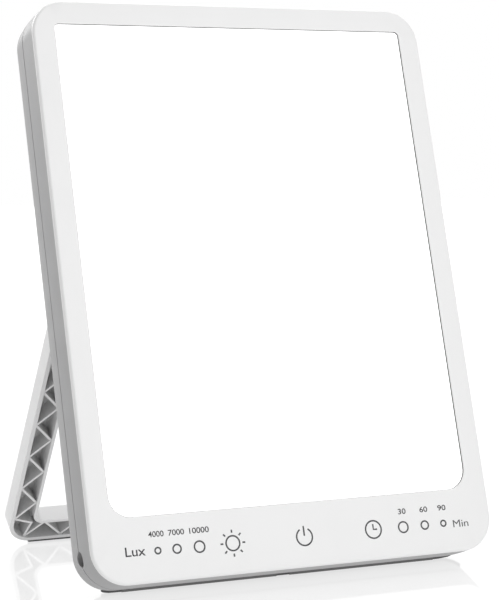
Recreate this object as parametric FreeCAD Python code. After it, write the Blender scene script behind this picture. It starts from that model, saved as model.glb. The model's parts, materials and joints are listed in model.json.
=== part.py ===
import FreeCAD, Part
import math
import os
from FreeCAD import Vector

# Light therapy lamp: a thin lit panel that leans back on a folding U-shaped stand.
# Sizes are in millimetres. The panel's pieces are drawn flat first, with X to the right,
# Y up the panel and Z from the rear face (0) to the front. The stand is drawn in its own
# plane with its hinge axis at the origin. Both are then set at their angles on the floor.

# Panel outline and pose
panel_width = 180.0
panel_height = 241.0
corner_radius = 15.0
lean_deg = 17.9
floor_gap = 0.8

# Casing layers, from the rear forward
rear_depth = 11.3
frame_depth = 12.2
bezel_thick = 1.5
wall = 2.2
back_thick = 2.0
rear_edge_radius = 3.0
rear_draw = 0.8
front_draw = 0.35
bezel_edge_radius = 1.3
seam_width = 0.5
seam_depth = 0.4

# Lit window in the bezel
side_border = 9.9
top_border = 10.4
bottom_border = 26.5
window_top_radius = 2.0
window_bottom_radius = 9.0
window_edge_bevel = 0.3
rebate_width = 4.0
rebate_depth = 0.6
rebate_radius = 3.0
skirt_depth = 2.0
skirt_thick = 1.2
skirt_clearance = 0.15

# Light stack
diffuser_thick = 1.5
film_thick = 0.3
guide_thick = 3.0
reflector_thick = 0.5
tray_thick = 1.0
flange_thick = 0.8
stack_clearance = 0.2
guide_overlap = 2.8
tray_margin = 2.2
tray_corner = 8.0
strip_thick = 1.0
strip_end_gap = 8.0
led_count = 24
led_long = 3.0
led_tall = 1.6
led_thick = 0.9

# Mid frame ledge and cross rib
ledge_thick = 2.0
ledge_width = 3.4
rib_width = 4.0

# Casing screws
boss_radius = 3.4
boss_inset = 6.6
top_boss_spacing = 74.0
bottom_boss_spacing = 50.0
screw_radius = 1.25
screw_hole_clearance = 0.15
screw_head_radius = 2.5
screw_head_thick = 1.8
head_well_radius = 2.9
head_seat = 4.2
screw_tip_gap = 1.2

# Stand
stand_inset = 4.4
leg_width = 11.6
bar_width = 11.8
stand_depth = 9.4
stand_corner = 11.0
stand_window_corner = 4.0
outer_rim = 1.75
inner_rim = 1.4
skin_thick = 1.5
rib_thick = 1.0
rib_drop = 0.8
rib_pitch = 18.6
first_rib_rise = 13.5
corner_rib_offset = 2.5
bar_ribs = 9
stand_edge_radius = 1.2
eye_radius = 6.2
eye_block = 9.0

# Hinge
open_deg = 52.4
hinge_up = 116.0
hinge_in = 3.0
pin_radius = 1.75
pin_clearance = 0.1
pin_boss_radius = 3.6
pin_boss_length = 5.7
pin_blind = 2.0
side_clearance = 0.6
channel_clearance = 0.3
stop_clearance = 0.05
swing_clearance = 0.4
channel_wall = 1.2
channel_end = 6.0

# Power inlet in the left side
jack_up = 13.0
jack_forward = 0.75
jack_hole_radius = 3.1
jack_setback = 1.4
jack_radius = 3.6
jack_length = 11.5
jack_bore_radius = 2.85
jack_bore_depth = 9.5
jack_pin_radius = 1.0
jack_pin_reach = 8.5
jack_tail = 3.0
cradle_length = 8.8
cradle_half = 5.6
rest_half = 2.5

# Touch board behind the lower border
board_thick = 1.2
board_left = -68.0
board_right = 72.0
board_low = 8.4
board_high = 21.4
board_gap = 2.9
key_row = 12.6
key_spots = (-30.0, 1.7, 33.3)
key_radius = 4.0
level_spots = (-62.1, -54.0, -44.4)
timer_spots = (47.3, 57.5, 66.4)
shield_margin = 3.4
shield_half = 2.6
shield_hole = 1.5
light_size = 1.6
light_wide = 0.8
light_thick = 0.6
post_spots = (-36.0, 14.0, 39.5)
post_row = 18.4
post_radius = 2.0
post_screw_radius = 0.9
post_head_radius = 1.8
post_head_thick = 1.2
post_screw_bite = 2.3
chip_size = 7.0
chip_thick = 1.0
chip_spot = (24.0, 14.6)
plug_long = 9.0
plug_wide = 4.0
plug_deep = 3.0
plug_spot = (-10.0, 13.0)

# Driver board in the rear cover
driver_left = -60.0
driver_low = 24.0
driver_long = 66.0
driver_wide = 30.0
driver_thick = 1.6
standoff_high = 3.0
standoff_radius = 2.6
standoff_inset = 4.0
driver_screw_radius = 1.1
driver_head_radius = 2.2
driver_head_thick = 1.5
choke_spot = (32.0, 15.0)
choke_radius = 5.5
choke_high = 5.5
capacitor_spots = ((14.0, 9.5), (14.0, 20.5))
capacitor_radius = 3.15
capacitor_high = 7.6
driver_chip_spots = ((45.0, 9.5), (45.0, 20.5))
driver_chip_long = 6.0
driver_chip_wide = 5.0
driver_chip_thick = 1.6

# Feet
foot_length = 68.0
foot_spacing = 37.0
foot_half_width = 1.6
foot_thick = 1.3
stand_foot_length = 16.0
stand_foot_spacing = 30.0
stand_foot_width = 4.0

# Levels and places that follow from the sizes above
half_width = panel_width / 2
frame_back = rear_depth
bezel_back = rear_depth + frame_depth
front = bezel_back + bezel_thick
window_half = half_width - side_border
window_low = bottom_border
window_high = panel_height - top_border
diffuser_front = bezel_back + rebate_depth
diffuser_back = diffuser_front - diffuser_thick
film_back = diffuser_back - film_thick
guide_back = film_back - guide_thick
reflector_back = guide_back - reflector_thick
tray_back = reflector_back - tray_thick
guide_half = window_half + guide_overlap
guide_low = window_low - guide_overlap
guide_high = window_high + guide_overlap
led_inner = guide_half + stack_clearance
strip_inner = led_inner + led_thick
flange_inner = strip_inner + strip_thick
tray_half = flange_inner + flange_thick
tray_low = guide_low - tray_margin
tray_high = panel_height - wall - tray_margin
strip_low = tray_low + strip_end_gap
strip_high = tray_high - corner_radius
leg_outer = half_width - stand_inset
leg_inner = leg_outer - leg_width
channel_inner = leg_inner - side_clearance
channel_outer = leg_outer + side_clearance
channel_floor = stand_depth / 2 + channel_clearance
closed_deg = math.degrees(math.atan((hinge_in + channel_floor) / (hinge_up - channel_end)))
lining_end = half_width - wall / 2
pin_start = channel_inner - channel_wall - pin_boss_length
pin_end = channel_outer + pin_blind
jack_z = rear_depth + jack_forward
jack_face = -half_width + wall + jack_setback
board_front = bezel_back - board_gap
board_back = board_front - board_thick
lean = math.radians(lean_deg)
leg_tilt = math.radians(open_deg - lean_deg)
rear_crown = (rear_draw ** 2 + rear_depth ** 2) / (2 * rear_draw)
front_crown = (front_draw ** 2 + frame_depth ** 2) / (2 * front_draw)
edge_rise = rear_depth - rear_edge_radius
edge_in = rear_crown - math.sqrt((rear_crown - rear_edge_radius) ** 2 - edge_rise ** 2)
lowest = edge_in * math.cos(lean) + rear_edge_radius * (math.sin(lean) - 1)
casing_lift = floor_gap - lowest
hinge_height = casing_lift + hinge_up * math.cos(lean) + hinge_in * math.sin(lean)
corner_drop = stand_depth / 2 * math.sin(leg_tilt)
leg_length = (hinge_height - corner_drop - floor_gap) / math.cos(leg_tilt)

screw_spots = [
    (-top_boss_spacing, panel_height - boss_inset),
    (0.0, panel_height - boss_inset),
    (top_boss_spacing, panel_height - boss_inset),
    (-bottom_boss_spacing, boss_inset),
    (0.0, boss_inset),
    (bottom_boss_spacing, boss_inset),
]


def box(x0, y0, z0, x1, y1, z1):
    return Part.makeBox(x1 - x0, y1 - y0, z1 - z0, Vector(x0, y0, z0))


def post(x, y, z0, z1, radius):
    return Part.makeCylinder(radius, z1 - z0, Vector(x, y, z0), Vector(0, 0, 1))


def rod(x0, x1, y, z, radius):
    return Part.makeCylinder(radius, x1 - x0, Vector(x0, y, z), Vector(1, 0, 0))


def mirrored(shape):
    return shape.mirror(Vector(0, 0, 0), Vector(1, 0, 0))


def rounded_wire(x0, y0, x1, y1, radii):
    # Radii run from the lower left corner anticlockwise.
    corners = ((x0, y0, 1, 1), (x1, y0, -1, 1), (x1, y1, -1, -1), (x0, y1, 1, -1))
    arcs = []
    for turn, (corner, radius) in enumerate(zip(corners, radii)):
        centre = Vector(corner[0] + corner[2] * radius, corner[1] + corner[3] * radius, 0)
        points = []
        for step in (0, 45, 90):
            angle = math.radians(180 + 90 * turn + step)
            points.append(centre + Vector(math.cos(angle), math.sin(angle), 0) * radius)
        arcs.append(points)
    edges = []
    for turn, points in enumerate(arcs):
        edges.append(Part.Arc(*points).toShape())
        edges.append(Part.LineSegment(points[2], arcs[(turn + 1) % 4][0]).toShape())
    return Part.Wire(edges)


def plate(x0, y0, x1, y1, radii, z0, z1):
    face = Part.Face(rounded_wire(x0, y0, x1, y1, radii))
    solid = face.extrude(Vector(0, 0, z1 - z0))
    solid.translate(Vector(0, 0, z0))
    return solid


def panel_plate(inset, z0, z1):
    # The panel's outline drawn in by an inset, with its corners concentric.
    return plate(-half_width + inset, inset, half_width - inset, panel_height - inset,
                 [corner_radius - inset] * 4, z0, z1)


def edges_at(shape, z):
    level = []
    for edge in shape.Edges:
        bounds = edge.BoundBox
        if abs(bounds.ZMin - z) < 1e-4 and abs(bounds.ZMax - z) < 1e-4:
            level.append(edge)
    return level


def window_radii(extra):
    low = window_bottom_radius + extra
    high = window_top_radius + extra
    return [low, low, high, high]


def jack_cuts():
    # The plug's hole through the wall, and the room behind it for the inlet.
    hole = rod(-half_width - 1, jack_face + 1, jack_up, jack_z, jack_hole_radius)
    return [hole, rod(jack_face, jack_face + jack_length, jack_up, jack_z, jack_radius)]


def crowned_slab(curve, low, high):
    # A slab with the panel's outline, its edge following a curve drawn in X and Z with the
    # corner's axis at X = 0. The corners are turned and the sides between them are drawn out.
    foot = Vector(0, 0, low.z)
    top = Vector(0, 0, high.z)
    lines = [Part.LineSegment(foot, low).toShape()] + curve
    lines += [Part.LineSegment(high, top).toShape(), Part.LineSegment(top, foot).toShape()]
    face = Part.Face(Part.Wire(lines))
    reach_x = half_width - corner_radius
    reach_y = panel_height - corner_radius
    pieces = []
    for x in (-reach_x, reach_x):
        for y in (corner_radius, reach_y):
            corner = face.revolve(Vector(0, 0, 0), Vector(0, 0, 1), 360)
            corner.translate(Vector(x, y, 0))
            pieces.append(corner)
    side = face.copy()
    side.translate(Vector(reach_x, corner_radius, 0))
    side = side.extrude(Vector(0, reach_y - corner_radius, 0))
    pieces += [side, mirrored(side)]
    for turn, y in ((90, reach_y), (-90, corner_radius)):
        end = face.copy()
        end.rotate(Vector(0, 0, 0), Vector(0, 0, 1), turn)
        end.translate(Vector(-reach_x, y, 0))
        pieces.append(end.extrude(Vector(2 * reach_x, 0, 0)))
    middle = box(-reach_x, corner_radius, low.z, reach_x, reach_y, high.z)
    return middle.fuse(pieces).removeSplitter()


def arc_about(centre, radius, start, end):
    # An arc between two directions from its centre.
    middle = (start + end).normalize()
    return Part.Arc(centre + start * radius, centre + middle * radius, centre + end * radius)


# Rear cover: a tray with a channel for each leg and a pocket round each hinge
def rear_blank():
    outward = Vector(1, 0, 0)
    crown_centre = Vector(corner_radius - rear_crown, 0, rear_depth)
    edge_centre = Vector(corner_radius - edge_in, 0, rear_edge_radius)
    meet = (edge_centre - crown_centre).normalize()
    edge = arc_about(edge_centre, rear_edge_radius, Vector(0, 0, -1), meet)
    crown = arc_about(crown_centre, rear_crown, meet, outward)
    low = Vector(edge_centre.x, 0, 0)
    high = Vector(corner_radius, 0, rear_depth)
    return crowned_slab([edge.toShape(), crown.toShape()], low, high)


def about_hinge(shape, angle):
    # Turn a shape drawn in the leg's own frame and set it on the hinge axis.
    shape.rotate(Vector(0, 0, 0), Vector(1, 0, 0), angle)
    shape.translate(Vector(0, hinge_up, hinge_in))
    return shape


def channel_lining():
    lining = box(channel_inner - channel_wall, -2 * hinge_up, -2 * stand_depth,
                 lining_end, 0, channel_floor + channel_wall)
    pod = rod(channel_inner - channel_wall, lining_end, hinge_up, hinge_in,
              eye_radius + swing_clearance + channel_wall)
    boss = rod(pin_start, channel_inner, hinge_up, hinge_in, pin_boss_radius)
    return about_hinge(lining, closed_deg).fuse([pod, boss])


def channel_space():
    # The floor slopes, so that it runs out into the rear face above the lower edge. The open
    # leg's front face meets a flat in the hinge pocket, which is its stop.
    reach = eye_radius + swing_clearance
    swing = rod(channel_inner, channel_outer, hinge_up, hinge_in, reach)
    before_stop = box(channel_inner, -2 * reach, -2 * reach,
                      channel_outer, 2 * reach, stand_depth / 2 + stop_clearance)
    before_stop = about_hinge(before_stop, open_deg)
    trough = box(channel_inner, -2 * hinge_up, -2 * stand_depth,
                 channel_outer, 0, channel_floor)
    return about_hinge(trough, closed_deg).fuse(swing.common(before_stop))


def make_rear_cover():
    blank = rear_blank()
    cover = blank.cut(panel_plate(wall, back_thick, rear_depth))
    lining = channel_lining()
    inside = [lining, mirrored(lining)]
    for x, y in screw_spots:
        inside.append(post(x, y, 0, rear_depth, boss_radius))
    for x, y in driver_corners():
        inside.append(post(x, y, 0, back_thick + standoff_high, standoff_radius))
    inside.append(box(-lining_end, jack_up - rest_half, 0,
                      jack_face + cradle_length, jack_up + rest_half, jack_z))
    solid_inside = inside[0].fuse(inside[1:]).common(blank)
    cover = cover.fuse(solid_inside).removeSplitter()
    cuts = [channel_space(), mirrored(channel_space())]
    bore = rod(pin_start - 1, pin_end, hinge_up, hinge_in, pin_radius)
    cuts += [bore, mirrored(bore)]
    for x, y in screw_spots:
        cuts.append(post(x, y, -1, head_seat, head_well_radius))
        cuts.append(post(x, y, 0, rear_depth + 1, screw_radius + screw_hole_clearance))
    for x, y in driver_corners():
        cuts.append(post(x, y, back_thick, back_thick + standoff_high + 1, driver_screw_radius))
    cuts += jack_cuts()
    return cover.cut(cuts)


# Mid frame: the forward half of the casing wall, with the ledge that carries the light stack
def make_mid_frame():
    crown_centre = Vector(corner_radius - front_crown, 0, frame_back)
    low = Vector(corner_radius, 0, frame_back)
    high = Vector(corner_radius - front_draw, 0, bezel_back)
    meet = (high - crown_centre).normalize()
    crown = arc_about(crown_centre, front_crown, Vector(1, 0, 0), meet)
    frame = crowned_slab([crown.toShape()], low, high)
    frame = frame.cut(panel_plate(wall, frame_back, bezel_back))
    seam = panel_plate(0, frame_back, frame_back + seam_width)
    seam = seam.cut(panel_plate(seam_depth, frame_back, frame_back + seam_width))
    frame = frame.cut(seam)
    ledge = panel_plate(wall / 2, tray_back - ledge_thick, tray_back)
    ledge = ledge.cut(panel_plate(wall + ledge_width, tray_back - ledge_thick, tray_back))
    rib = box(-half_width + wall / 2, tray_low - rib_width / 2, tray_back - ledge_thick,
              half_width - wall / 2, tray_low + rib_width / 2, tray_back)
    cradle = box(-half_width + wall / 2, jack_up - cradle_half, jack_z,
                 jack_face + cradle_length, jack_up + cradle_half, tray_back)
    inside = [ledge, rib, cradle]
    for x, y in screw_spots:
        inside.append(post(x, y, frame_back, tray_back, boss_radius))
    keep = panel_plate(wall / 2, frame_back, bezel_back)
    solid_inside = inside[0].fuse(inside[1:]).common(keep)
    frame = frame.fuse(solid_inside).removeSplitter()
    cuts = jack_cuts()
    for x, y in screw_spots:
        cuts.append(post(x, y, frame_back - 1, tray_back - screw_tip_gap, screw_radius))
    return frame.cut(cuts)


# Front bezel: the white face with its window, a locating skirt and posts for the touch board
def make_front_bezel():
    bezel = panel_plate(front_draw, bezel_back, front)
    bezel = bezel.makeFillet(bezel_edge_radius, edges_at(bezel, front))
    bezel = bezel.cut(plate(-window_half, window_low, window_half, window_high,
                            window_radii(0), bezel_back, front))
    rim = []
    for edge in edges_at(bezel, front):
        bounds = edge.BoundBox
        if max(abs(bounds.XMin), abs(bounds.XMax)) < window_half + 0.01:
            rim.append(edge)
    bezel = bezel.makeChamfer(window_edge_bevel, rim)
    skirt_outer = wall + skirt_clearance
    skirt = panel_plate(skirt_outer, bezel_back - skirt_depth, bezel_back)
    skirt = skirt.cut(panel_plate(skirt_outer + skirt_thick, bezel_back - skirt_depth, bezel_back))
    posts = [post(x, post_row, board_front, bezel_back, post_radius) for x in post_spots]
    bezel = bezel.fuse([skirt] + posts).removeSplitter()
    rebate = plate(-window_half - rebate_width, window_low - rebate_width,
                   window_half + rebate_width, window_high + rebate_width,
                   [rebate_radius] * 4, bezel_back, diffuser_front)
    cuts = [rebate]
    for x in post_spots:
        cuts.append(post(x, post_row, board_front - 1, board_front + post_screw_bite,
                         post_screw_radius))
    return bezel.cut(cuts)


# Light stack
def stack_sheet(half, low, high, z0, z1):
    return plate(-half, low, half, high, [rebate_radius - stack_clearance] * 4, z0, z1)


def make_diffuser():
    grow = rebate_width - stack_clearance
    return stack_sheet(window_half + grow, window_low - grow, window_high + grow,
                       diffuser_back, diffuser_front)


def make_light_tray():
    sheet = plate(-tray_half, tray_low, tray_half, tray_high, [tray_corner] * 4,
                  tray_back, reflector_back)
    flange = box(flange_inner, strip_low, reflector_back, tray_half, strip_high, film_back)
    return sheet.fuse([flange, mirrored(flange)]).removeSplitter()


def make_led_strip():
    return box(strip_inner, strip_low, reflector_back, flange_inner, strip_high, film_back)


def make_led_row():
    middle = (guide_back + film_back) / 2
    spacing = (strip_high - strip_low) / led_count
    leds = []
    for index in range(led_count):
        y = strip_low + spacing * (index + 0.5)
        leds.append(box(led_inner, y - led_long / 2, middle - led_tall / 2,
                        strip_inner, y + led_long / 2, middle + led_tall / 2))
    return Part.makeCompound(leds)


# Touch board and what it carries
def make_touch_board():
    board = box(board_left, board_low, board_back, board_right, board_high, board_front)
    holes = [post(x, post_row, board_back - 1, board_front + 1, post_screw_radius)
             for x in post_spots]
    return board.cut(holes)


def make_touch_pads():
    return Part.makeCompound([post(x, key_row, board_front, bezel_back, key_radius)
                              for x in key_spots])


def make_indicator_lights():
    lights = []
    for x in level_spots + timer_spots:
        lights.append(box(x - light_size / 2, key_row - light_wide / 2, board_front,
                          x + light_size / 2, key_row + light_wide / 2,
                          board_front + light_thick))
    return Part.makeCompound(lights)


def make_light_shield(spots):
    shield = box(spots[0] - shield_margin, key_row - shield_half, board_front,
                 spots[-1] + shield_margin, key_row + shield_half, bezel_back)
    return shield.cut([post(x, key_row, board_front - 1, bezel_back + 1, shield_hole)
                       for x in spots])


def screw(x, y, seat, tip, head_top, shank_radius, head_radius):
    # A pan-head screw drawn along Z, from the tip of its shank to the top of its head.
    low, high = sorted((seat, tip))
    shank = post(x, y, low, high, shank_radius)
    low, high = sorted((seat, head_top))
    return shank.fuse(post(x, y, low, high, head_radius)).removeSplitter()


def make_board_screws():
    return Part.makeCompound([
        screw(x, post_row, board_back, board_front + post_screw_bite,
              board_back - post_head_thick, post_screw_radius, post_head_radius)
        for x in post_spots])


def make_touch_chip():
    x, y = chip_spot
    half = chip_size / 2
    return box(x - half, y - half, board_back - chip_thick, x + half, y + half, board_back)


def make_board_plug():
    x, y = plug_spot
    return box(x - plug_long / 2, y - plug_wide / 2, board_back - plug_deep,
               x + plug_long / 2, y + plug_wide / 2, board_back)


# Driver board and what it carries
def driver_corners():
    xs = (driver_left + standoff_inset, driver_left + driver_long - standoff_inset)
    ys = (driver_low + standoff_inset, driver_low + driver_wide - standoff_inset)
    return [(x, y) for x in xs for y in ys]


driver_back = back_thick + standoff_high
driver_front = driver_back + driver_thick


def make_driver_board():
    board = box(driver_left, driver_low, driver_back,
                driver_left + driver_long, driver_low + driver_wide, driver_front)
    return board.cut([post(x, y, driver_back - 1, driver_front + 1, driver_screw_radius)
                      for x, y in driver_corners()])


def make_driver_screws():
    return Part.makeCompound([
        screw(x, y, driver_front, back_thick + 0.4, driver_front + driver_head_thick,
              driver_screw_radius, driver_head_radius)
        for x, y in driver_corners()])


def driver_can(spot, radius, high):
    return post(driver_left + spot[0], driver_low + spot[1], driver_front,
                driver_front + high, radius)


def make_driver_chips():
    chips = []
    for spot in driver_chip_spots:
        x = driver_left + spot[0]
        y = driver_low + spot[1]
        chips.append(box(x - driver_chip_long / 2, y - driver_chip_wide / 2, driver_front,
                         x + driver_chip_long / 2, y + driver_chip_wide / 2,
                         driver_front + driver_chip_thick))
    return Part.makeCompound(chips)


# Power inlet
def make_jack_body():
    body = rod(jack_face, jack_face + jack_length, jack_up, jack_z, jack_radius)
    bore = rod(jack_face - 1, jack_face + jack_bore_depth, jack_up, jack_z, jack_bore_radius)
    pin_seat = rod(jack_face, jack_face + jack_length + 1, jack_up, jack_z, jack_pin_radius)
    return body.cut([bore, pin_seat])


def make_jack_pin():
    start = jack_face + jack_bore_depth - jack_pin_reach
    pin = rod(start, jack_face + jack_length + jack_tail, jack_up, jack_z, jack_pin_radius)
    tip = [edge for edge in pin.Edges if abs(edge.BoundBox.XMax - start) < 1e-4]
    return pin.makeFillet(jack_pin_radius * 0.6, tip)


# Casing screws, hinge pins and washers
def make_casing_screws():
    return Part.makeCompound([
        screw(x, y, head_seat, tray_back - screw_tip_gap - 0.3, head_seat - screw_head_thick,
              screw_radius, screw_head_radius)
        for x, y in screw_spots])


def make_hinge_pin():
    return rod(pin_start, pin_end, hinge_up, hinge_in, pin_radius)


def make_hinge_washer():
    washer = rod(channel_inner, leg_inner, hinge_up, hinge_in, eye_radius - 1.4)
    return washer.cut(rod(channel_inner - 1, leg_inner + 1, hinge_up, hinge_in, pin_radius))


# Stand: a U of two legs and a bar, its pockets open to the front and braced by zigzag ribs
def stand_layer(outer_inset, inner_inset, top, z0, z1):
    # The U drawn in from its outer edge and from its window edge, cut off level at the top.
    x_out = leg_outer - outer_inset
    x_in = leg_inner + inner_inset
    low = -leg_length + outer_inset
    high = -leg_length + bar_width - inner_inset
    outer = plate(-x_out, low, x_out, top + 1, [stand_corner - outer_inset] * 2 + [0.5] * 2, z0, z1)
    window_corner = stand_window_corner + inner_inset
    inner = plate(-x_in, high, x_in, top + 3, [window_corner] * 2 + [0.5] * 2, z0 - 1, z1 + 1)
    trim = box(-x_out - 1, top, z0 - 1, x_out + 1, top + 3, z1 + 1)
    return outer.cut([inner, trim])


def rib_between(start, end, z0, z1):
    run = math.hypot(end[0] - start[0], end[1] - start[1])
    rib = Part.makeBox(run + rib_thick, rib_thick, z1 - z0, Vector(-rib_thick / 2, -rib_thick / 2, z0))
    angle = math.degrees(math.atan2(end[1] - start[1], end[0] - start[0]))
    rib.rotate(Vector(0, 0, 0), Vector(0, 0, 1), angle)
    rib.translate(Vector(start[0], start[1], 0))
    return rib


def rib_lines():
    # Vertices alternate between the two rims, up each leg and along the bar.
    x_out = leg_outer - outer_rim
    x_in = leg_inner + inner_rim
    low = -leg_length + outer_rim
    high = -leg_length + bar_width - inner_rim
    leg = []
    y = -leg_length + first_rib_rise
    while y < -eye_block + rib_pitch / 2:
        leg.append((x_in if len(leg) % 2 else x_out, y))
        y += rib_pitch / 2
    inner_corner = (x_in, high)
    bar_start = x_in + corner_rib_offset
    step = bar_start / bar_ribs
    bar = [(bar_start - step * index, high if index % 2 else low) for index in range(2 * bar_ribs + 1)]
    right = [inner_corner] + leg
    left = [(-x, y) for x, y in right]
    first = [(inner_corner, bar[0])]
    last = [((-x_in, high), bar[-1])]
    lines = first + last
    for chain in (right, left, bar):
        lines += list(zip(chain[:-1], chain[1:]))
    return lines


def make_stand_frame():
    half = stand_depth / 2
    frame = stand_layer(0, 0, eye_radius, -half, half)
    frame = frame.makeFillet(stand_edge_radius, edges_at(frame, -half))
    floor = -half + skin_thick
    rib_top = half - rib_drop
    lip = stand_layer(outer_rim, inner_rim, -eye_block, rib_top, half)
    pocket = stand_layer(outer_rim, inner_rim, -eye_block, floor, rib_top)
    ribs = [rib_between(start, end, floor, rib_top) for start, end in rib_lines()]
    frame = frame.cut([lip, pocket.cut(ribs)])
    # Each leg ends in a round eye about the hinge axis.
    for side in (-1, 1):
        x0 = min(side * leg_inner, side * leg_outer) - 1
        x1 = max(side * leg_inner, side * leg_outer) + 1
        end = box(x0, 0, -half - 1, x1, eye_radius + 1, half + 1)
        frame = frame.cut(end.cut(rod(x0, x1, 0, 0, eye_radius)))
        frame = frame.cut(rod(x0, x1, 0, 0, pin_radius + pin_clearance))
    return frame


def panel_to_room(shape):
    shape.rotate(Vector(0, 0, 0), Vector(1, 0, 0), 90 - lean_deg)
    shape.translate(Vector(0, 0, casing_lift))
    return shape


# Feet: soft pads that fill the gap between the floor and the edges above it
def make_casing_feet():
    casing = panel_to_room(rear_blank())
    contact = edge_in * math.sin(lean) - rear_edge_radius * math.cos(lean)
    feet = []
    for side in (-1, 1):
        x = side * foot_spacing
        pad = box(x - foot_length / 2, contact - foot_half_width, 0,
                  x + foot_length / 2, contact + foot_half_width, foot_thick)
        feet.append(pad.cut(casing))
    return Part.makeCompound(feet)


def make_stand_feet():
    hinge_back = hinge_up * math.sin(lean) - hinge_in * math.cos(lean)
    reach = hinge_back + leg_length * math.sin(leg_tilt)
    corner_y = reach - stand_depth / 2 * math.cos(leg_tilt)
    slope = math.tan(leg_tilt)
    front_y = corner_y + stand_edge_radius
    back_y = front_y + stand_foot_width
    feet = []
    for side in (-1, 1):
        x = side * stand_foot_spacing - stand_foot_length / 2
        profile = [Vector(x, front_y, 0), Vector(x, back_y, 0),
                   Vector(x, back_y, floor_gap + (back_y - corner_y) * slope),
                   Vector(x, front_y, floor_gap + (front_y - corner_y) * slope)]
        face = Part.Face(Part.makePolygon(profile + profile[:1]))
        feet.append(face.extrude(Vector(stand_foot_length, 0, 0)))
    return Part.makeCompound(feet)


strip = make_led_strip()
leds = make_led_row()
pin = make_hinge_pin()
washer = make_hinge_washer()
flat_parts = {
    "rear_cover": make_rear_cover(),
    "mid_frame": make_mid_frame(),
    "front_bezel": make_front_bezel(),
    "diffuser": make_diffuser(),
    "prism_film": stack_sheet(guide_half, guide_low, guide_high, film_back, diffuser_back),
    "light_guide": stack_sheet(guide_half, guide_low, guide_high, guide_back, film_back),
    "reflector": stack_sheet(guide_half, guide_low, guide_high, reflector_back, guide_back),
    "light_tray": make_light_tray(),
    "led_strip_right": strip,
    "led_strip_left": mirrored(strip),
    "leds_right": leds,
    "leds_left": mirrored(leds),
    "touch_board": make_touch_board(),
    "touch_pads": make_touch_pads(),
    "indicator_lights": make_indicator_lights(),
    "level_light_shield": make_light_shield(level_spots),
    "timer_light_shield": make_light_shield(timer_spots),
    "touch_board_screws": make_board_screws(),
    "touch_chip": make_touch_chip(),
    "touch_board_plug": make_board_plug(),
    "driver_board": make_driver_board(),
    "driver_screws": make_driver_screws(),
    "driver_choke": driver_can(choke_spot, choke_radius, choke_high),
    "driver_capacitors": Part.makeCompound([
        driver_can(spot, capacitor_radius, capacitor_high) for spot in capacitor_spots]),
    "driver_chips": make_driver_chips(),
    "dc_jack_body": make_jack_body(),
    "dc_jack_pin": make_jack_pin(),
    "casing_screws": make_casing_screws(),
    "hinge_pin_right": pin,
    "hinge_pin_left": mirrored(pin),
    "hinge_washer_right": washer,
    "hinge_washer_left": mirrored(washer),
}

parts = {name: panel_to_room(shape) for name, shape in flat_parts.items()}
parts["stand_frame"] = panel_to_room(about_hinge(make_stand_frame(), open_deg))
parts["casing_feet"] = make_casing_feet()
parts["stand_feet"] = make_stand_feet()

# The origin is on the floor, under the middle of the whole lamp.
whole = Part.makeCompound(list(parts.values())).optimalBoundingBox(False)
centre_shift = -(whole.YMin + whole.YMax) / 2

os.makedirs("parts", exist_ok=True)
for name, shape in parts.items():
    shape.translate(Vector(0, centre_shift, 0))
    shape.exportStep("parts/" + name + ".step")
    print(name, "solids", len(shape.Solids), "valid", shape.isValid(), "volume", round(shape.Volume, 1))

hinge_back = hinge_up * math.sin(lean) - hinge_in * math.cos(lean) + centre_shift
print("hinge axis y", round(hinge_back, 4), "z", round(hinge_height, 4))
print("folds by", round(open_deg - closed_deg, 4))
print("leg length", round(leg_length, 3), "y shift", round(centre_shift, 4))
print("box", round(whole.XLength, 3), round(whole.YLength, 3), round(whole.ZLength, 3), "low", round(whole.ZMin, 4))
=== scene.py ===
import json
import math

import bmesh
import bpy
from mathutils import Matrix, Vector


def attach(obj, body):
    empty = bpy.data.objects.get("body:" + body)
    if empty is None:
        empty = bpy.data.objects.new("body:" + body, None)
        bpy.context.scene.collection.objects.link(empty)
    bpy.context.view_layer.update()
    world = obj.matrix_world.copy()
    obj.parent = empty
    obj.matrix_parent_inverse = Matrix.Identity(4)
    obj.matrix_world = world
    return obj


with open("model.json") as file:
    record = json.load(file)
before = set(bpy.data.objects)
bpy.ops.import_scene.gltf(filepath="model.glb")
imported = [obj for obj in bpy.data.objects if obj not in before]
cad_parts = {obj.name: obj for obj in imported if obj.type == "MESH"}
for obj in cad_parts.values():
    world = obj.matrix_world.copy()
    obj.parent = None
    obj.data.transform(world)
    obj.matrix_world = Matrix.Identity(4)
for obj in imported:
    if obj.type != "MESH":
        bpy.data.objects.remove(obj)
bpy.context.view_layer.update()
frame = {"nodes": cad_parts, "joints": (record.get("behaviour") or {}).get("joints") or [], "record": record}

mm = 0.001
nodes = frame["nodes"]

# The panel's own axes: across, up the face and out of the face. The hinge ties them to the frame.
panel = {"lean": math.radians(17.9), "hingeUp": 116 * mm, "hingeIn": 3 * mm,
         "depth": 25 * mm, "bezel": 1.5 * mm}
across = Vector((1, 0, 0))
upFace = Vector((0, math.sin(panel["lean"]), math.cos(panel["lean"])))
outFace = Vector((0, -math.cos(panel["lean"]), math.sin(panel["lean"])))
hinge = Vector(frame["joints"][0]["pos_m"])
panelOrigin = hinge - upFace * panel["hingeUp"] - outFace * panel["hingeIn"]


def onPanel(x, up, out):
    return panelOrigin + across * x + upFace * up + outFace * out


# Materials. Noise scales are per metre, and bump depths and the pockets' reach are in metres.

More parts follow.
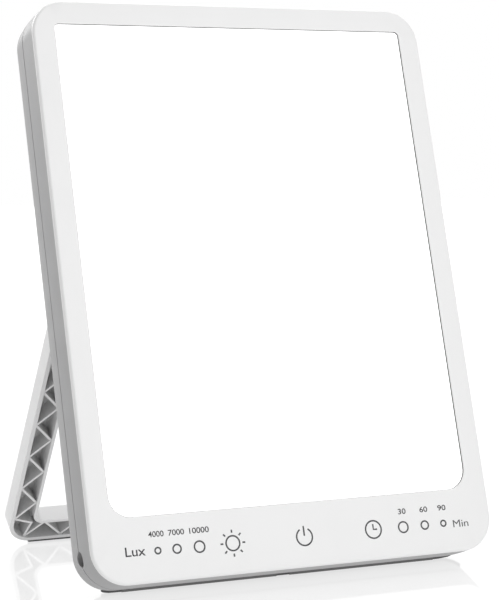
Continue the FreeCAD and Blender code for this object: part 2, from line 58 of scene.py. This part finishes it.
noiseRange = (0.3, 0.7)  # where most of a noise's values lie
plastic = {"mottle": 28.0, "fade": 0.985, "gloss": 90.0, "glossLow": -0.03, "glossHigh": 0.04,
           "bump": 0.35}
pockets = {"reach": 0.008, "samples": 6, "closed": 0.25, "open": 0.85, "darkest": 0.78}
simple = {"mottle": 120.0, "fade": 0.9, "glossLow": -0.05, "glossHigh": 0.07, "bump": 0.3}
opal = {"cloud": 14.0, "dark": (0.93, 0.93, 0.93), "light": (0.97, 0.97, 0.97), "glow": 0.75,
        "grain": 2200.0, "roughness": (0.32, 0.4), "bump": 0.2, "bumpDepth": 0.00001}
acrylic = {"grain": 300.0, "roughness": (0.05, 0.12), "shade": (0.92, 0.95, 0.95),
           "clear": 0.8, "bend": 1.49}


def newMaterial(name):
    material = bpy.data.materials.new(name)
    material.use_nodes = True
    tree = material.node_tree
    return material, tree, tree.nodes["Principled BSDF"]


def addNoise(tree, scale, detail=3.0, roughness=0.55):
    place = tree.nodes.new("ShaderNodeTexCoord")
    noise = tree.nodes.new("ShaderNodeTexNoise")
    noise.inputs["Scale"].default_value = scale
    noise.inputs["Detail"].default_value = detail
    noise.inputs["Roughness"].default_value = roughness
    tree.links.new(place.outputs["Object"], noise.inputs["Vector"])
    return noise.outputs["Fac"]


def stretch(tree, source, fromRange, toRange):
    ranger = tree.nodes.new("ShaderNodeMapRange")
    ranger.inputs["From Min"].default_value, ranger.inputs["From Max"].default_value = fromRange
    ranger.inputs["To Min"].default_value, ranger.inputs["To Max"].default_value = toRange
    tree.links.new(source, ranger.inputs["Value"])
    return ranger.outputs["Result"]


def tint(tree, factor, first, second):
    mix = tree.nodes.new("ShaderNodeMix")
    mix.data_type = "RGBA"
    mix.inputs["A"].default_value = (*first, 1)
    mix.inputs["B"].default_value = (*second, 1)
    tree.links.new(factor, mix.inputs["Factor"])
    return mix.outputs["Result"]


def addMottle(tree, scale, detail, shade, fade):
    return tint(tree, addNoise(tree, scale, detail), tuple(c * fade for c in shade), shade)


def addGloss(tree, shader, noise, low, high):
    tree.links.new(stretch(tree, noise, noiseRange, (low, high)), shader.inputs["Roughness"])


def addBump(tree, shader, height, strength, distance):
    bump = tree.nodes.new("ShaderNodeBump")
    bump.inputs["Strength"].default_value = strength
    bump.inputs["Distance"].default_value = distance
    tree.links.new(height, bump.inputs["Height"])
    tree.links.new(bump.outputs["Normal"], shader.inputs["Normal"])


def shadePockets(tree, colour):
    # Shade gathers in narrow pockets, so the colour falls off where little sky is seen.
    hollow = tree.nodes.new("ShaderNodeAmbientOcclusion")
    hollow.inputs["Distance"].default_value = pockets["reach"]
    hollow.samples = pockets["samples"]
    level = stretch(tree, hollow.outputs["AO"], (pockets["closed"], pockets["open"]),
                    (pockets["darkest"], 1.0))
    scaled = tree.nodes.new("ShaderNodeVectorMath")
    scaled.operation = "SCALE"
    tree.links.new(colour, scaled.inputs[0])
    tree.links.new(level, scaled.inputs["Scale"])
    return scaled.outputs["Vector"]


def mouldedPlastic(name, shade, grain, roughness, bumpDepth, pocketed=False):
    # Moulded plastic: a faint mottle in the colour, uneven gloss and a fine spark-eroded grain.
    material, tree, shader = newMaterial(name)
    colour = addMottle(tree, plastic["mottle"], 4.0, shade, plastic["fade"])
    if pocketed:
        colour = shadePockets(tree, colour)
    tree.links.new(colour, shader.inputs["Base Color"])
    addGloss(tree, shader, addNoise(tree, plastic["gloss"]),
             roughness + plastic["glossLow"], roughness + plastic["glossHigh"])
    addBump(tree, shader, addNoise(tree, grain, 2.0), plastic["bump"], bumpDepth)
    return material


def plainFinish(name, shade, roughness, metallic=0.0, grain=900.0, bumpDepth=0.00002):
    material, tree, shader = newMaterial(name)
    colour = addMottle(tree, simple["mottle"], 3.0, shade, simple["fade"])
    tree.links.new(colour, shader.inputs["Base Color"])
    fine = addNoise(tree, grain, 2.0)
    addGloss(tree, shader, fine, roughness + simple["glossLow"], roughness + simple["glossHigh"])
    addBump(tree, shader, fine, simple["bump"], bumpDepth)
    shader.inputs["Metallic"].default_value = metallic
    return material


def litSheet(name):
    # The opal sheet glows evenly, with a very faint cloudiness and a soft surface.
    material, tree, shader = newMaterial(name)
    shade = tint(tree, addNoise(tree, opal["cloud"], 2.0), opal["dark"], opal["light"])
    tree.links.new(shade, shader.inputs["Base Color"])
    tree.links.new(shade, shader.inputs["Emission Color"])
    shader.inputs["Emission Strength"].default_value = opal["glow"]
    fine = addNoise(tree, opal["grain"], 1.0)
    addGloss(tree, shader, fine, *opal["roughness"])
    addBump(tree, shader, fine, opal["bump"], opal["bumpDepth"])
    return material


def clearSheet(name):
    material, tree, shader = newMaterial(name)
    addGloss(tree, shader, addNoise(tree, acrylic["grain"], 2.0), *acrylic["roughness"])
    shader.inputs["Base Color"].default_value = (*acrylic["shade"], 1)
    shader.inputs["Transmission Weight"].default_value = acrylic["clear"]
    shader.inputs["IOR"].default_value = acrylic["bend"]
    return material


finish = {
    "casing_grey": mouldedPlastic("casingPlastic", (0.375, 0.375, 0.378), 2600.0, 0.46, 0.00003),
    "bezel_white": mouldedPlastic("bezelPlastic", (0.86, 0.86, 0.86), 2400.0, 0.34, 0.00001),
    "stand_white": mouldedPlastic("standPlastic", (0.82, 0.82, 0.82), 2400.0, 0.4, 0.00002,
                                  pocketed=True),
    "lit_diffuser": litSheet("opalSheet"),
    "clear_acrylic": clearSheet("clearAcrylic"),
    "white_film": plainFinish("whiteFilm", (0.9, 0.9, 0.9), 0.5),
    "tray_aluminium": plainFinish("trayAluminium", (0.75, 0.75, 0.76), 0.35, 1.0),
    "can_aluminium": plainFinish("canAluminium", (0.7, 0.7, 0.72), 0.25, 1.0),
    "strip_board": plainFinish("stripBoard", (0.86, 0.86, 0.84), 0.4),
    "green_board": plainFinish("greenBoard", (0.05, 0.26, 0.11), 0.35),
    "led_phosphor": plainFinish("ledPhosphor", (0.95, 0.8, 0.35), 0.5),
    "black_plastic": plainFinish("blackPlastic", (0.03, 0.03, 0.03), 0.4),
    "black_foam": plainFinish("blackFoam", (0.04, 0.04, 0.04), 0.9,
                              grain=1500.0, bumpDepth=0.0001),
    "contact_foam": plainFinish("contactFoam", (0.45, 0.45, 0.46), 0.4, 0.8, bumpDepth=0.0001),
    "plug_nylon": plainFinish("plugNylon", (0.84, 0.82, 0.76), 0.45),
    "ferrite": plainFinish("ferrite", (0.08, 0.08, 0.09), 0.6),
    "pin_brass": plainFinish("pinBrass", (0.8, 0.62, 0.3), 0.25, 1.0),
    "zinc_steel": plainFinish("zincSteel", (0.68, 0.68, 0.69), 0.3, 1.0),
    "foot_rubber": plainFinish("footRubber", (0.17, 0.17, 0.17), 0.8,
                               grain=1400.0, bumpDepth=0.00005),
}

smoothing = {"weld": 0.01 * mm, "crease": math.radians(32)}


def dressNodes():
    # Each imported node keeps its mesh. Its curved faces are smoothed and its slot's finish goes on.
    for part in frame["record"]["subparts"]:
        node = nodes[part["node"]]
        node.data.materials.clear()
        node.data.materials.append(finish[part["material_slot"]])
        for face in node.data.polygons:
            face.use_smooth = True
        weld = node.modifiers.new("weld", "WELD")
        weld.merge_threshold = smoothing["weld"]
        split = node.modifiers.new("split", "EDGE_SPLIT")
        split.split_angle = smoothing["crease"]
    print("dressed", len(nodes), "nodes")


# Shared by the pieces that are drawn here

def newPiece(name, form, material):
    mesh = bpy.data.meshes.new(name)
    form.to_mesh(mesh)
    form.free()
    mesh.materials.append(material)
    piece = bpy.data.objects.new(name, mesh)
    bpy.context.scene.collection.objects.link(piece)
    return piece


def joinRings(form, rings):
    for first, second in zip(rings[:-1], rings[1:]):
        for index in range(len(first)):
            after = (index + 1) % len(first)
            form.faces.new((first[index], first[after], second[after], second[index]))


def facePlacement(x, up):
    # On the bezel's front face, x and up in millimetres
    place = onPanel(x * mm, up * mm, panel["depth"])
    turn = Matrix((across, upFace, outFace)).transposed().to_4x4()
    return Matrix.Translation(place) @ turn


def arcPoints(radius, start, end, steps):
    points = []
    for step in range(steps + 1):
        angle = math.radians(start + (end - start) * step / steps)
        points.append((radius * math.cos(angle), radius * math.sin(angle)))
    return points


# Printed marks on the lower border, in millimetres but for the thickness and the stroke

marks = {
    "thickness": 0.03 * mm, "stroke": 0.66 * mm, "row": 12.6, "numberRow": (18.0, 20.3),
    "ink": (0.03, 0.03, 0.033), "worn": 1.5, "wearScale": 700.0, "inkRoughness": (0.4, 0.55),
    "ringSteps": 40, "signSteps": 48,
    "bolder": {"4000": 0.012, "7000": 0.012, "10000": 0.012,  # how far the letters' edges grow
               "30": 0.014, "60": 0.014, "90": 0.014, "Lux": 0.008},
    "rings": (("4000", -62.1, 1.2), ("7000", -54.0, 1.7), ("10000", -44.4, 2.2),
              ("30", 47.3, 2.2), ("60", 57.5, 1.7), ("90", 66.4, 1.2)),
    "numbers": (("4000", -65.4, -58.9), ("7000", -57.0, -50.2), ("10000", -48.0, -39.6),
                ("30", 45.8, 49.4), ("60", 56.0, 59.7), ("90", 64.6, 68.5)),
    "words": (("Lux", -75.7, -67.3, 11.2, 14.9), ("Min", 71.0, 78.3, 10.5, 13.5)),
    "sun": {"x": -30.0, "up": 12.7, "ring": 2.95, "rays": 8, "rayFrom": 4.15, "rayTo": 5.4},
    "power": {"x": 1.7, "up": 12.5, "ring": 3.5, "gap": 30, "barFrom": 0.4, "barTo": 4.4},
    "clock": {"x": 33.3, "up": 12.8, "ring": 3.6, "hand": 2.2, "shortHand": 1.7},
}


def inkFinish():
    material, tree, shader = newMaterial("printInk")
    wear = addNoise(tree, marks["wearScale"])
    lighter = tuple(c * marks["worn"] for c in marks["ink"])
    tree.links.new(tint(tree, wear, marks["ink"], lighter), shader.inputs["Base Color"])
    addGloss(tree, shader, wear, *marks["inkRoughness"])
    return material


ink = inkFinish()


def strokeAlong(form, points, width):
    # A flat stroke of constant width along a chain of points, as one strip of quads
    rows = []
    for index, point in enumerate(points):
        before = points[max(index - 1, 0)]
        after = points[min(index + 1, len(points) - 1)]
        run = (Vector(after) - Vector(before)).normalized()
        side = Vector((-run.y, run.x)) * width / 2
        low = form.verts.new((point[0] - side.x, point[1] - side.y, 0))
        high = form.verts.new((point[0] + side.x, point[1] + side.y, 0))
        rows.append((low, high))
    for first, second in zip(rows[:-1], rows[1:]):
        form.faces.new((first[0], second[0], second[1], first[1]))


def placeMark(name, form, x, up):
    top = bmesh.ops.extrude_face_region(form, geom=form.faces[:])
    raised = [item for item in top["geom"] if isinstance(item, bmesh.types.BMVert)]
    bmesh.ops.translate(form, verts=raised, vec=(0, 0, marks["thickness"]))
    bmesh.ops.recalc_face_normals(form, faces=form.faces[:])
    piece = newPiece(name, form, ink)
    piece.matrix_world = facePlacement(x, up)
    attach(piece, "panel")


def addMark(name, x, up, chains):
    form = bmesh.new()
    for points in chains:
        strokeAlong(form, points, marks["stroke"])
    placeMark(name, form, x, up)


def addWord(name, text, left, right, low, high):
    # The letters are drawn at the font's own size, then stretched to fill the place they have.
    letters = bpy.data.curves.new(name + "Letters", "FONT")
    letters.body = text
    letters.offset = marks["bolder"].get(text, 0)
    sketch = bpy.data.objects.new(name + "Letters", letters)
    bpy.context.scene.collection.objects.link(sketch)
    view = bpy.context.evaluated_depsgraph_get()
    drawn = bpy.data.meshes.new_from_object(sketch.evaluated_get(view))
    bpy.data.objects.remove(sketch)
    form = bmesh.new()
    form.from_mesh(drawn)
    bpy.data.meshes.remove(drawn)
    xs = [vertex.co.x for vertex in form.verts]
    ys = [vertex.co.y for vertex in form.verts]
    wide = (right - left) * mm / (max(xs) - min(xs))
    tall = (high - low) * mm / (max(ys) - min(ys))
    for vertex in form.verts:
        vertex.co = ((vertex.co.x - min(xs)) * wide, (vertex.co.y - min(ys)) * tall, 0)
    placeMark(name, form, left, low)


def printMarks():
    for text, x, radius in marks["rings"]:
        ring = arcPoints(radius * mm, 0, 360, marks["ringSteps"])
        addMark("ring" + text, x, marks["row"], [ring])
    for text, left, right in marks["numbers"]:
        addWord("number" + text, text, left, right, *marks["numberRow"])
    for text, left, right, low, high in marks["words"]:
        addWord("word" + text, text, left, right, low, high)
    sun = marks["sun"]
    chains = [arcPoints(sun["ring"] * mm, 0, 360, marks["ringSteps"])]
    for ray in range(sun["rays"]):
        angle = math.radians(360 / sun["rays"] * ray)
        turn = Vector((math.cos(angle), math.sin(angle)))
        chains.append([tuple(turn * sun["rayFrom"] * mm), tuple(turn * sun["rayTo"] * mm)])
    addMark("sunMark", sun["x"], sun["up"], chains)
    power = marks["power"]
    chains = [arcPoints(power["ring"] * mm, 90 + power["gap"], 450 - power["gap"],
                        marks["signSteps"])]
    chains.append([(0, power["barFrom"] * mm), (0, power["barTo"] * mm)])
    addMark("powerMark", power["x"], power["up"], chains)
    clock = marks["clock"]
    chains = [arcPoints(clock["ring"] * mm, 0, 360, marks["signSteps"])]
    chains.append([(0, clock["hand"] * mm), (0, 0), (clock["shortHand"] * mm, 0)])
    addMark("clockMark", clock["x"], clock["up"], chains)
    print("printed the marks")


# A thin dark band on the window's wall, painted shade between the bezel and the opal sheet, in millimetres

wallShade = {"half": 80.1, "low": 26.5, "high": 230.6, "lowRadius": 9.0, "highRadius": 2.0,
        "cornerSteps": 12, "thick": 0.07, "from": 24.1, "to": 24.72,
        "shade": (0.05, 0.05, 0.05), "roughness": 0.8}


def wallShadeOutline(inset):
    # Each corner: its side, its height, the way to its centre, its radius and its first angle
    corners = ((1, wallShade["low"], 1, wallShade["lowRadius"], -90),
               (1, wallShade["high"], -1, wallShade["highRadius"], 0),
               (-1, wallShade["high"], -1, wallShade["highRadius"], 90),
               (-1, wallShade["low"], 1, wallShade["lowRadius"], 180))
    points = []
    for side, up, turn, radius, start in corners:
        for x, y in arcPoints(radius - inset, start, start + 90, wallShade["cornerSteps"]):
            points.append((side * (wallShade["half"] - radius) + x, up + turn * radius + y))
    return points


def makeWallShade():
    form = bmesh.new()
    rings = []
    for inset, out in ((0, wallShade["from"]), (0, wallShade["to"]), (wallShade["thick"], wallShade["to"]),
                       (wallShade["thick"], wallShade["from"])):
        height = out * mm - panel["depth"]
        rings.append([form.verts.new((x * mm, up * mm, height)) for x, up in wallShadeOutline(inset)])
    joinRings(form, rings + rings[:1])
    bmesh.ops.recalc_face_normals(form, faces=form.faces[:])
    # The band's dark colour is painted shade on the window's wall, where the wall lies in shadow.
    piece = newPiece("windowWallShade", form, plainFinish("paintedWallShade", wallShade["shade"], wallShade["roughness"]))
    piece.matrix_world = facePlacement(0, 0)
    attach(piece, "panel")
    print("fitted the seal")


# Painted contact shadow: soft dark strips under the casing's lower edge and under the stand's bar, in
# millimetres.
# Each rises with the rounded corners, its lower edge fully on the left and partly on the right.

contactShade = {
    "shade": (0.1, 0.1, 0.102), "roughness": 0.7, "low": 0.03, "bury": 0.3, "steps": 24,
    "leftLift": 1.0, "rightLift": 0.8,
    "casing": {"body": "panel", "y": -45.14, "half": 0.9, "left": -79.0, "right": 85.0,
               "flat": 75.0, "round": 14.5, "gap": 0.94},
    "bar": {"body": "stand", "y": 60.6, "half": 0.8, "left": -75.0, "right": 75.0,
            "flat": 74.6, "round": 11.0, "gap": 1.1},
}
# The strips' dark colour is painted shadow where the casing and the bar meet the floor.
contactShadeDark = plainFinish("contactShadeDark", contactShade["shade"], contactShade["roughness"])


def makeContactShade(name, sizes):
    form = bmesh.new()
    rings = []
    for step in range(contactShade["steps"] + 1):
        # The steps are closer at the ends, where the strip bends.
        share = 0.5 + 0.5 * math.sin(math.pi * (step / contactShade["steps"] - 0.5))
        x = sizes["left"] + (sizes["right"] - sizes["left"]) * share
        past = max(0, abs(x) - sizes["flat"])
        rise = sizes["round"] - math.sqrt(sizes["round"] ** 2 - past ** 2)
        top = sizes["gap"] + contactShade["bury"] + rise
        low = contactShade["low"] + rise * (contactShade["leftLift"] if x < 0 else contactShade["rightLift"])
        back = sizes["y"] + sizes["half"]
        front = sizes["y"] - sizes["half"]
        places = ((front, low), (back, low), (back, top), (front, top))
        rings.append([form.verts.new((x * mm, y * mm, z * mm)) for y, z in places])
    joinRings(form, rings)
    form.faces.new(rings[0])
    form.faces.new(rings[-1][::-1])
    bmesh.ops.recalc_face_normals(form, faces=form.faces[:])
    piece = newPiece(name, form, contactShadeDark)
    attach(piece, sizes["body"])


# Floor, light and camera, in metres

studio = {
    "floorSize": 8.0, "floorShade": 0.22, "floorGlow": 0.67, "floorRoughness": 0.03,
    "floorBend": 1.3, "worldLight": 0.28, "aim": (0, 0, 0.1),
    "key": {"place": (0.35, -1.5, 0.85), "size": 1.5, "power": 15.2},
    "top": {"place": (0.5, 0.7, 1.8), "size": 1.2, "power": 19.0},
    "rear": {"place": (-0.7, 1.35, 0.9), "size": 0.9, "power": 15.0},
}


def makeFloor():
    form = bmesh.new()
    bmesh.ops.create_grid(form, x_segments=1, y_segments=1, size=studio["floorSize"] / 2)
    material, tree, shader = newMaterial("floorGloss")
    grey = studio["floorShade"]
    shader.inputs["Base Color"].default_value = (grey, grey, grey, 1)
    shader.inputs["Roughness"].default_value = studio["floorRoughness"]
    shader.inputs["IOR"].default_value = studio["floorBend"]
    shader.inputs["Emission Color"].default_value = (1, 1, 1, 1)
    shader.inputs["Emission Strength"].default_value = studio["floorGlow"]
    floor = newPiece("floor", form, material)


def areaLight(name):
    lamp = bpy.data.lights.new(name, "AREA")
    lamp.energy = studio[name]["power"]
    lamp.size = studio[name]["size"]
    piece = bpy.data.objects.new(name, lamp)
    bpy.context.scene.collection.objects.link(piece)
    piece.location = studio[name]["place"]
    aim = Vector(studio["aim"]) - piece.location
    piece.rotation_euler = aim.to_track_quat("-Z", "Y").to_euler()


def largest(tree, first, second):
    pick = tree.nodes.new("ShaderNodeMath")
    pick.operation = "MAXIMUM"
    tree.links.new(first, pick.inputs[0])
    tree.links.new(second, pick.inputs[1])
    return pick.outputs[0]


def makeLight():
    # The world lights the lamp softly, and is white to what sees it straight, by gloss or glass.
    world = bpy.data.worlds.new("studio")
    bpy.context.scene.world = world
    world.use_nodes = True
    tree = world.node_tree
    background = tree.nodes["Background"]
    background.inputs["Color"].default_value = (1, 1, 1, 1)
    path = tree.nodes.new("ShaderNodeLightPath")
    seen = largest(tree, path.outputs["Is Camera Ray"], path.outputs["Is Glossy Ray"])
    seen = largest(tree, seen, path.outputs["Is Transmission Ray"])
    strength = tree.nodes.new("ShaderNodeMath")
    strength.operation = "MULTIPLY_ADD"
    strength.inputs[1].default_value = 1 - studio["worldLight"]
    strength.inputs[2].default_value = studio["worldLight"]
    tree.links.new(seen, strength.inputs[0])
    tree.links.new(strength.outputs[0], background.inputs["Strength"])
    for name in ("key", "top", "rear"):
        areaLight(name)


# The camera's place is measured from the foot of the seam between bezel and casing.
shot = {"fromSeam": (-337.8 * mm, -687.2 * mm, 173.9 * mm), "down": 4.866, "toRight": 24.552,
        "lens": 115.6, "sensor": 36}


def makeCamera():
    lens = bpy.data.cameras.new("camera")
    lens.lens = shot["lens"]
    lens.sensor_width = shot["sensor"]
    camera = bpy.data.objects.new("camera", lens)
    bpy.context.scene.collection.objects.link(camera)
    seamFoot = onPanel(0, 0, panel["depth"] - panel["bezel"])
    camera.location = seamFoot + Vector(shot["fromSeam"])
    camera.rotation_euler = (math.radians(90 - shot["down"]), 0, -math.radians(shot["toRight"]))
    bpy.context.scene.camera = camera
    bpy.context.scene.view_settings.view_transform = "Standard"


dressNodes()
printMarks()
makeWallShade()
makeContactShade("casingContactShade", contactShade["casing"])
makeContactShade("barContactShade", contactShade["bar"])
print("laid the strips")
makeFloor()
makeLight()
makeCamera()
print("set the floor, the light and the camera")
